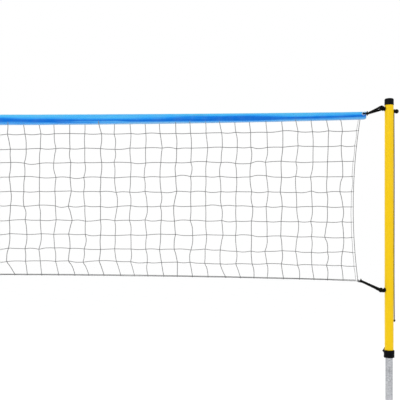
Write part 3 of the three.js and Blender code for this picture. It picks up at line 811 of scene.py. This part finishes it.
elastic_radius = 0.0039
for word, side in both_sides:
    eyelet_at, ring_at = middle_of(f"eyelet_{word}"), middle_of(f"corner_ring_{word}")
    for name, stud, hole, knot_out, knot_size, loop_reach, turns, leave_high, leave_low in (
        ("upper", "upper_stud", eyelet_at, 0.0255, (0.0045, 0.0058, 0.0100), 0.0112,
         ((radians(56), 0.0030), (radians(88), 0.0008)), 0.38, -0.35),
        ("lower", "lower_stud", ring_at, 0.0125, (0.0040, 0.0055, 0.0080), 0.0066,
         ((radians(76), 0.0050), (radians(92), 0.0006)), -0.10, 0.30),
    ):
        _, neck, neck_start, ball, radius, raised, height, _ = stud_makes[stud]

        def beside(out, around, reach):
            """A point beside the stud's axis: around is 0 above it and a quarter turn in front of it."""
            up = Vector((side * sin(raised), 0, cos(raised)))
            axis = Vector((-side * cos(raised), 0, sin(raised)))
            return (Vector((side * pole_x, 0, height)) + axis * out
                    + up * (reach * cos(around)) + Vector((0, -reach * sin(around), 0)))

        def over_ball(share, around):
            return beside(ball + radius * share, around, clear * sqrt(1 - share**2))

        clear = radius + elastic_radius + 0.0003
        knot_at = Vector((hole.x + side * knot_out, 0, hole.z + 0.001))
        bm = bmesh.new()
        for first_turn, apart in turns:
            last_turn = first_turn + pi
            top_start = knot_at + Vector((side * 0.001, -0.002, apart))
            low_start = knot_at + Vector((side * 0.003, 0.002, -apart))
            round_neck = [first_turn + pi * i / 6 for i in range(7)]
            top_leaves, low_leaves = over_ball(leave_high, first_turn), over_ball(leave_low, last_turn)
            route = [top_start, top_start.lerp(top_leaves, 0.33), top_start.lerp(top_leaves, 0.7), top_leaves]
            route += [over_ball(leave_high / 2 - 0.2, first_turn), over_ball(-0.55, first_turn)]
            route += [
                beside(neck_start + 0.0013, turn, neck + elastic_radius + 0.0001) for turn in round_neck
            ]
            route += [over_ball(-0.6, last_turn), low_leaves]
            route += [low_leaves.lerp(low_start, 0.3), low_leaves.lerp(low_start, 0.67), low_start]
            lay_cord(bm, route, elastic_radius, sides=10, steps=5)
        lay_cord(bm, pulled_knot(knot_at, knot_size), elastic_radius, closed=True)
        tail = (
            (0, -0.002, -0.006), (side * 0.004, -0.004, 0), (side * 0.001, 0.002, 0.008),
            (-side * 0.001, -0.003, 0.014)
        )
        lay_cord(bm, [knot_at + Vector(offset) for offset in tail], elastic_radius)
        through = [(knot_out - 0.001, -0.003), (knot_out * 0.55, -loop_reach), (0.003, -loop_reach - 0.0003),
                   (-0.0015, -loop_reach * 0.4), (-0.0015, loop_reach * 0.4), (0.003, loop_reach + 0.0003),
                   (knot_out * 0.55, loop_reach), (knot_out - 0.001, 0.003)]
        lay_cord(bm, [hole + Vector((side * out, across, 0)) for out, across in through], elastic_radius)
        finish_piece(
            bm, f"{name}_elastic_cord_{word}", black_braid, "net_frame", "black_cord",
            [f"{name}_elastic_{word}"]
        )


# --- Band ----------------------------------------------------------------------
# A strip of coated blue cloth, folded over the head cord and stitched along its
# lower edge. It hangs in long shallow folds and is gathered at both ends.

band_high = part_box("top_band")[1]
band_end, band_half = band_high.x, band_high.y
net_half, mesh_size = 2.5, 0.1
band_middle, band_rise, band_depth = 2.24, 0.018, 0.070
cloth_thick, belly_out = 0.0012, 0.0042
gather_start, gather_run = 2.3, 0.24


def band_top(x):
    return band_middle + band_rise * (x / net_half) ** 2


def band_fold(x, z, reach):
    """How far the cloth stands out in its long lengthwise folds."""
    gather = min(1.0, max(0.0, (abs(x) - gather_start) / gather_run))
    long_folds = noise.noise(Vector((x * 2.4, z * 62.0, 3.1)))
    long_folds += 0.5 * noise.noise(Vector((x * 7.0, z * 130.0, 8.7)))
    pleats = sin(z * 330 + 4 * noise.noise(Vector((x * 5, z * 20, 0.0)))) * gather
    return reach * (long_folds + 0.6 * pleats)


columns, rows = 520, 26
bm = bmesh.new()
cloth_uv = bm.loops.layers.uv.new("cloth")
bmesh.ops.create_grid(bm, x_segments=columns, y_segments=rows, size=0.5)
places = {}
for point in bm.verts:
    along, around = point.co.x * 2, (point.co.y + 0.5)
    x = along * (band_end + 0.002)
    depth = band_depth - band_rise * (x / band_end) ** 2
    corner = max(0.0, (abs(x) - (band_end - 0.014)) / 0.014)
    depth_here = depth - cloth_thick - 0.005 * corner**2
    side_of = -1 if around < 0.5 else 1
    down = abs(around - 0.5) * 2
    belly = belly_out * sin(pi * min(1.0, down * 1.04)) ** 0.6 + 0.0003
    if down < 0.12:
        belly = max(belly, belly_out * sqrt(down / 0.12))
    fold_out = band_fold(x, down * depth + (0.4 if side_of > 0 else 0.0), 0.0018)
    fold_out *= min(1.0, 6 * down * (1.02 - down))
    past_thread = abs((x / mesh_size) - round(x / mesh_size)) * mesh_size
    pinch = 0.0012 + 0.0012 * max(0.0, 1 - past_thread / 0.02)
    thickness = max(pinch, min(belly + fold_out, band_half - 0.0009))
    hem = 0.0006 * noise.noise(Vector((x * 9.0, 5.0, 0.0))) if down > 0.9 else 0.0
    top_edge = 0.0008 * noise.noise(Vector((x * 4.0, 1.0, 0.0)))
    z = band_top(x) - 0.0009 + min(0.0, top_edge) - down * depth_here + hem
    places[point.index] = (x, down * side_of + 1)
    point.co = (x, side_of * thickness, z - 0.0003)
bm.verts.ensure_lookup_table()
for face in bm.faces:
    for corner in face.loops:
        corner[cloth_uv].uv = places[corner.vert.index]

weave, given, result = new_group(
    "plain weave", {"Along": "Vector", "Yarn": "Float"}, {"Height": "Float", "Gap": "Float"}
)
across = put_node(weave, "ShaderNodeSeparateXYZ", inputs={0: given["Along"]})
warp = maths(weave, "MULTIPLY", maths(weave, "DIVIDE", across.outputs[0], given["Yarn"]), pi)
weft = maths(weave, "MULTIPLY", maths(weave, "DIVIDE", across.outputs[1], given["Yarn"]), pi)
over = maths(weave, "MULTIPLY", maths(weave, "SINE", warp), maths(weave, "SINE", weft))
weave.links.new(maths(weave, "ABSOLUTE", over), result["Height"])
# Gap is 1 between the yarns; the cloth darkens it as painted shade.
weave.links.new(maths(weave, "SUBTRACT", 1.0, maths(weave, "ABSOLUTE", over)), result["Gap"])

blue_cloth, tree, shader = new_material(
    "coated blue cloth", {"Roughness": 0.5, "Specular IOR Level": 0.08}
)
place = put_node(tree, "ShaderNodeTexCoord").outputs
to_metres = put_node(tree, "ShaderNodeMapping", inputs={"Vector": place["UV"], "Scale": (1.0, 0.064, 1.0)})
yarns = put_group(tree, weave, {"Along": to_metres.outputs[0], "Yarn": 0.0009})
worn = put_group(tree, wear, {"Place": place["Object"], "Dust": 0.08, "Rub": 0.1})
stretched = put_node(tree, "ShaderNodeMapping", inputs={"Vector": place["UV"], "Scale": (1.3, 2.4, 1.0)})
streak = put_node(
    tree, "ShaderNodeTexNoise", inputs={"Vector": stretched.outputs[0], "Scale": 1.0, "Detail": 4.0}
)
level = put_node(tree, "ShaderNodeSeparateXYZ", inputs={0: place["UV"]})
share_down = maths(tree, "ABSOLUTE", maths(tree, "SUBTRACT", level.outputs[1], 1.0))
shifted = maths(tree, "ADD", share_down, maths(tree, "MULTIPLY_ADD", streak.outputs["Fac"], 1.1, -0.55))
# Painted light and shade: the blue is painted lightest at the top of the fold, where light falls on it,
# darkest through the middle, and lighter again towards the hem; the streak noise moves these bands up and
# down along the band as painted highlights and shade.
blue_with_painted_light = ramp(tree, shifted, [
    (0.0, (0.10, 0.50, 0.80, 1)), (0.24, (0.05, 0.40, 0.84, 1)), (0.42, (0.012, 0.27, 0.80, 1)),
    (0.52, (0.001, 0.15, 0.62, 1)), (0.68, (0.001, 0.14, 0.60, 1)), (0.80, (0.06, 0.34, 0.78, 1)),
    (0.96, (0.17, 0.43, 0.72, 1)),
])
thread_row = maths(
    tree, "LESS_THAN", maths(tree, "ABSOLUTE", maths(tree, "SUBTRACT", share_down, 0.93)), 0.012
)
dash = maths(tree, "LESS_THAN", maths(tree, "FRACT", maths(tree, "DIVIDE", level.outputs[0], 0.0045)), 0.72)
stitched = maths(tree, "MULTIPLY", thread_row, dash)
# Painted shade in the gaps between the yarns.
blue_with_gap_shade = tinted(tree, maths(tree, "MULTIPLY", yarns["Gap"], 0.18), blue_with_painted_light, (0.0, 0.03, 0.16, 1))
sewn = tinted(tree, stitched, blue_with_gap_shade, (0.55, 0.68, 0.82, 1))
dirty = tinted(tree, worn["Dust"], sewn, (0.45, 0.5, 0.55, 1))
tree.links.new(dirty, shader.inputs["Base Color"])
relief = maths(tree, "MULTIPLY_ADD", stitched, 1.5, yarns["Height"])
tree.links.new(maths(tree, "MULTIPLY_ADD", streak.outputs["Fac"], 0.3, 0.28), shader.inputs["Roughness"])
bump(tree, shader, relief, 0.0002, 0.7)

band = finish_piece(bm, "blue_band", blue_cloth, "net_frame", "blue_cloth", ["top_band"])
layer = band.modifiers.new("cloth thickness", "SOLIDIFY")
layer.thickness = cloth_thick
layer.offset = 0


# --- Head rope -----------------------------------------------------------------
# A white three-strand rope, 6 mm thick, runs inside the fold of the band and carries
# the netting.

twist, given, result = new_group(
    "laid strands",
    {"Along": "Vector", "Strands": "Float", "Lay": "Float"},
    {"Height": "Float", "Gap": "Float"},
)
round_and_along = put_node(twist, "ShaderNodeSeparateXYZ", inputs={0: given["Along"]})
turns = maths(twist, "MULTIPLY", round_and_along.outputs[0], given["Strands"])
climbs = maths(twist, "DIVIDE", round_and_along.outputs[1], given["Lay"])
strand = maths(
    twist, "ABSOLUTE", maths(twist, "SINE", maths(twist, "MULTIPLY", maths(twist, "ADD", turns, climbs), pi))
)
twist.links.new(strand, result["Height"])
# Gap is 1 in the grooves between the strands; the rope and twine darken it as painted shade.
twist.links.new(maths(twist, "SUBTRACT", 1.0, strand), result["Gap"])

dull_fibre = {"Roughness": 0.8, "Specular IOR Level": 0.2}
# Painted shade: the white rope is painted dark grey, darker still in the grooves between its strands, in
# place of the shade that falls on it.
white_rope = cord_material(
    "white laid rope", dull_fibre, twist, {"Strands": 3.0, "Lay": 0.0045},
    [(0.3, (0.20, 0.20, 0.205, 1)), (0.95, (0.08, 0.08, 0.085, 1))], 0.3, (0.19, 0.185, 0.175, 1), 0.0008,
)
foot_middle, foot_drop = 1.183, 0.04


def net_top(x):
    return band_top(x) - 0.0173


def net_bottom(x):
    return foot_middle - foot_drop * (x / net_half) ** 2


rope_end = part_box("head_cord")[1].x
stops = [rope_end * (i / 20 - 1) for i in range(41)]
bm = bmesh.new()
lay_cord(bm, [(x, 0, band_top(x) - 0.012) for x in stops], 0.003, sides=12)
finish_piece(bm, "head_rope", white_rope, "net_frame", "white_twine", ["head_cord"])


# --- Netting -------------------------------------------------------------------
# Knotted white twine, 5 mm thick, in square meshes of 100 mm, with thinner threads
# down both ends, stretched between the head rope and the foot rope. Nothing hangs
# quite true.

# Painted shade: the white twine is painted mid-grey, darker still in the gaps between its strands, in place
# of the shade that falls on it.
white_twine = cord_material(
    "white twine", dull_fibre, twist, {"Strands": 2.0, "Lay": 0.003},
    [(0.3, (0.25, 0.25, 0.253, 1)), (0.95, (0.13, 0.13, 0.133, 1))], 0.4, (0.21, 0.205, 0.195, 1), 0.0005,
)
mesh_rows, mesh_columns = 11, 50
half_columns = mesh_columns // 2
bow, top_reach, bottom_reach = 0.04, 0.025, 0.005
loose = random.Random(11)


def side_edge(share):
    """Where the side rope runs, outwards from the middle of the net, at a share of the way down."""
    reach = top_reach + (bottom_reach - top_reach) * share
    z = net_top(net_half) + (net_bottom(net_half) - net_top(net_half)) * share
    return net_half + reach - bow * 4 * share * (1 - share), z


def knot_place(column, row):
    """Where a column and a row of the netting cross, before the slack in the threads."""
    share = row / mesh_rows
    across = column - half_columns
    if abs(across) == half_columns:
        x = (across / half_columns) * (side_edge(share)[0] - 0.014)
    else:
        x = across * mesh_size
    top, bottom = net_top(x), net_bottom(x)
    if 0 < row < mesh_rows:
        share += 0.0195 - 0.013 * (x / net_half) ** 2 * (1 - share) - (0.01 if row == mesh_rows - 1 else 0)
    return Vector((x, 0, top + (bottom - top) * share))


knots = {}
for column in range(mesh_columns + 1):
    for row in range(mesh_rows + 1):
        spot = knot_place(column, row)
        if 0 < row < mesh_rows and 0 < column < mesh_columns:
            spot += Vector((loose.gauss(0, 0.0058), 0, loose.gauss(0, 0.0030)))
        if 0 < column < mesh_columns and row == 0:
            spot.x -= loose.uniform(0.002, 0.022)
        if 0 < column < mesh_columns and row == mesh_rows:
            spot.x += loose.uniform(0.002, 0.034)
        knots[column, row] = spot


def slack_thread(stops, slack):
    """A thread through its knots, bowed a little one way or the other between each pair."""
    route = [stops[0]]
    for start, stop in zip(stops, stops[1:]):
        run = (stop - start).normalized()
        side_ways = Vector((-run.z, 0, run.x)) * loose.gauss(slack / 3, slack)
        through = Vector((0, loose.gauss(0, 0.0008), 0))
        route += [
            start.lerp(stop, 0.33) + side_ways + through, start.lerp(stop, 0.7) + side_ways * 0.8 + through,
            stop
        ]
    return route


thread_radius, end_thread_radius, crossing_room = 0.0025, 0.0014, 0.0006
bm = bmesh.new()
for column in range(mesh_columns + 1):
    stops = [knots[column, row] + Vector((0, -crossing_room, 0)) for row in range(mesh_rows + 1)]
    thickness = thread_radius if 0 < column < mesh_columns else end_thread_radius
    lay_cord(bm, slack_thread(stops, 0.0028), thickness, sides=6, steps=3)
for row in range(1, mesh_rows):
    stops = [knots[column, row] + Vector((0, crossing_room, 0)) for column in range(mesh_columns + 1)]
    lay_cord(bm, slack_thread(stops, -0.0030), thread_radius, sides=6, steps=3)
for row in (0, mesh_rows):
    stops = [knot_place(column, row) + Vector((0, crossing_room, 0)) for column in range(mesh_columns + 1)]
    lay_cord(bm, stops, thread_radius, sides=6, steps=4)
finish_piece(bm, "net_threads", white_twine, "net_frame", "white_twine", ["netting"])

bm = bmesh.new()
for column in range(mesh_columns + 1):
    for row in range(1, mesh_rows):
        lump = bmesh.new()
        bmesh.ops.create_icosphere(lump, subdivisions=2, radius=1)
        for point in lump.verts:
            groove = 1 - 0.22 * cos(3 * (point.co.x + point.co.z) + 1.2)
            point.co = (point.co.x * 0.0035 * groove, point.co.y * 0.0033, point.co.z * 0.0029 * groove)
        spin(lump, loose.uniform(0.5, 1.1), "Y")
        move(lump, knots[column, row])
        add_copy(bm, lump)
finish_piece(bm, "net_knots", white_twine, "net_frame", "white_twine")


# --- Side and foot ropes -------------------------------------------------------
# White laid rope, 4 mm thick, edges the netting. Each mesh along the sides and the
# foot is held to it with a short hitch of twine, and rope ends are tied at the rings.

rope_radius = 0.002
foot_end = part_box("bottom_cord")[1].x
bm = bmesh.new()
foot_stops = [foot_end * (i / 25 - 1) for i in range(51)]
foot_route = [(x, 0, net_bottom(x) - 0.005 + loose.gauss(0, 0.0005)) for x in foot_stops]
lay_cord(bm, foot_route, rope_radius, sides=10, steps=4)
finish_piece(bm, "foot_rope", white_rope, "net_frame", "white_twine", ["bottom_cord"])

hitches = bmesh.new()
for column in range(1, mesh_columns):
    x = knots[column, mesh_rows].x
    centre = Vector((x, 0, net_bottom(x) - 0.0032))
    ring = ring_route(8, lambda t: centre + Vector((0.0016 * sin(2 * t), 0.0042 * sin(t), 0.0050 * cos(t))))
    lay_cord(hitches, ring, 0.0011, sides=6, steps=2, closed=True)

for word, side in both_sides:
    corner_top, corner_foot = net_top(net_half), net_bottom(net_half)
    rope_end = (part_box(f"side_cord_{word}")[0].z - corner_top) / (corner_foot - corner_top)
    route = [(side * side_edge(rope_end * i / 22)[0], 0, side_edge(rope_end * i / 22)[1]) for i in range(23)]
    bm = bmesh.new()
    lay_cord(bm, route, rope_radius, sides=10, steps=4)
    ring_at = middle_of(f"corner_ring_{word}")
    for end in (Vector(route[-1]), Vector((side * foot_end, 0, foot_route[-1][2]))):
        towards = (Vector((ring_at.x, 0, ring_at.z)) - end).normalized()
        rim = Vector((ring_at.x, 0, ring_at.z)) - towards * 0.008
        middle = (end + rim) / 2
        reach = (rim - end).length / 2 + 0.0022
        loop = ring_route(10, lambda t: middle + towards * reach * cos(t) + Vector((0, 0.0040 * sin(t), 0)))
        lay_cord(bm, loop, 0.0016, sides=8, steps=4, closed=True)
        lay_cord(bm, pulled_knot(end, (0.0026, 0.0026, 0.0036)), 0.0014, sides=8, steps=3, closed=True)
    finish_piece(bm, f"side_rope_{word}", white_rope, "net_frame", "white_twine", [f"side_cord_{word}"])
    for row in range(1, mesh_rows):
        share = row / mesh_rows
        x, z = side_edge(share)
        level = knots[mesh_columns if side > 0 else 0, row].z
        centre = Vector((side * (x - 0.007), 0, level))
        ring = ring_route(
            8, lambda t: centre + Vector((0.0098 * cos(t), 0.0036 * sin(t), 0.0012 * sin(2 * t)))
        )
        lay_cord(hitches, ring, 0.0009, sides=6, steps=2, closed=True)
finish_piece(hitches, "twine_hitches", white_twine, "net_frame", "white_twine")


# --- Eyelets and corner rings --------------------------------------------------
# A pressed zinc-plated eyelet closes round a hole in each end of the band, and a
# welded steel ring joins the side rope and the foot rope at each lower corner.

for word, side in both_sides:
    low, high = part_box(f"eyelet_{word}")
    centre = (low + high) / 2
    flange, half, hole, barrel = (high.x - low.x) / 2, high.y, 0.0075, 0.009
    roll = quarter((flange - 0.0018, -half + 0.0012), 0.0012, -90, 0, 4)
    front = [(hole, -half + 0.0016), (hole + 0.0005, -half + 0.0005), (hole + 0.0014, -half), *roll,
             (flange - 0.0006, -half + 0.0014), (barrel, -half + 0.0014)]
    profile = front + [(r, -z) for r, z in reversed(front)] + [front[0]]
    bm = turned(profile, 48)
    spin(bm, pi / 2, "X")
    move(bm, centre)
    finish_piece(bm, f"pressed_eyelet_{word}", zinc_plate, "net_frame", "zinc", [f"eyelet_{word}"])

    centre = middle_of(f"corner_ring_{word}")
    wire, middle = 0.002, 0.008
    bm = turned([(middle + wire * cos(tau * i / 14), wire * sin(tau * i / 14)) for i in range(15)], 48)
    weld = bmesh.new()
    bmesh.ops.create_uvsphere(weld, u_segments=12, v_segments=8, radius=0.0024)
    bmesh.ops.scale(weld, verts=weld.verts, vec=(0.7, 1.0, 1.0))
    move(weld, (0, -middle, 0))
    add_copy(bm, weld)
    spin(bm, pi / 2, "X")
    move(bm, centre)
    finish_piece(bm, f"welded_ring_{word}", zinc_plate, "net_frame", "zinc", [f"corner_ring_{word}"])
